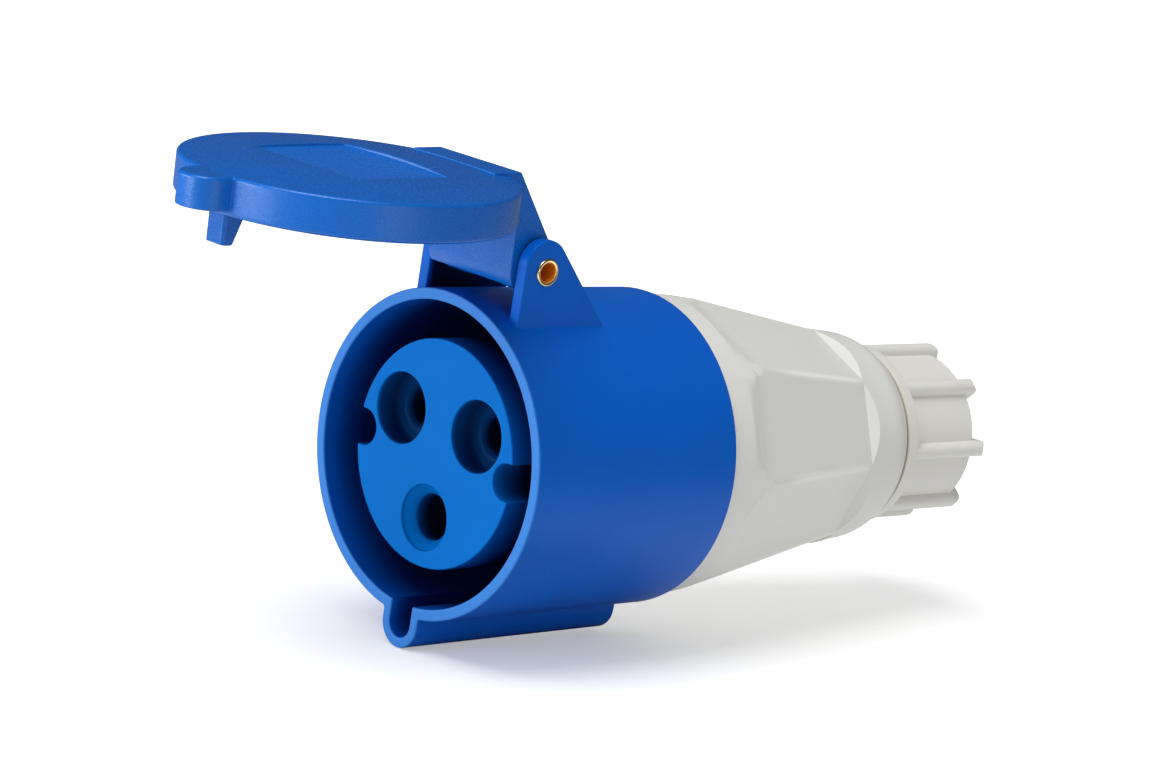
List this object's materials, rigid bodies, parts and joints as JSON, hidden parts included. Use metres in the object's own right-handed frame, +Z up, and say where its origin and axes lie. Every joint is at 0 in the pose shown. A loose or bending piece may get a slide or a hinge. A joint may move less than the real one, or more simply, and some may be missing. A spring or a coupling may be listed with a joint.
{
  "type": "industrial cable socket",
  "caption": "Round splash-proof industrial cable socket with a hinged spring lid, keyed mouth, contact insert, conical rear housing and cable gland nut.",
  "frame": {"origin": "centre of the mouth's rim plane, on the socket's axis", "axes": "+Y along the axis from the mouth to the cable gland, +Z up towards the lid's hinge, +X to the right seen from the front"},
  "size_m": [0.054, 0.178, 0.0812],
  "materials": {
    "blue_plastic": "satin",
    "pale_plastic": "satin",
    "dark_plastic": "satin",
    "brass": "polished",
    "steel": "plated",
    "rubber": "matte"
  },
  "bodies": {
    "socket": {"front_shell": "blue_plastic", "hinge_rivet": "brass", "lid_spring": "steel", "contact_insert": "blue_plastic", "line_contact": "brass", "neutral_contact": "brass", "earth_contact": "brass", "pole_springs": "steel", "earth_spring": "steel", "terminal_screws": "steel", "contact_retainer": "dark_plastic", "retainer_screws": "steel", "rear_housing": "pale_plastic", "housing_seal": "rubber", "clamp_collet": "dark_plastic", "gland_seal": "rubber"},
    "lid": {"lid": "blue_plastic", "lid_gasket": "rubber"},
    "gland_washer": {"gland_washer": "dark_plastic"},
    "gland_nut": {"gland_nut": "pale_plastic"}
  },
  "joints": [
    {"name": "lid_hinge", "type": "hinge", "parent": "socket", "child": "lid", "pos_m": [0, 0.0089, 0.033], "axis": [-1, 0, 0], "range_deg": [-88, 15], "deforming": ["lid_spring"]},
    {"name": "nut_travel", "type": "slide", "parent": "socket", "child": "gland_washer", "axis": [0, 1, 0], "range_m": [0, 0.009]},
    {"name": "nut_turn", "type": "hinge", "parent": "gland_washer", "child": "gland_nut", "pos_m": [0, 0.11, 0], "axis": [0, 1, 0], "range_deg": [0, 1620]}
  ],
  "couplings": [
    {"joint": "nut_travel", "follows": "nut_turn", "m_per_rad": 0.0003183}
  ]
}
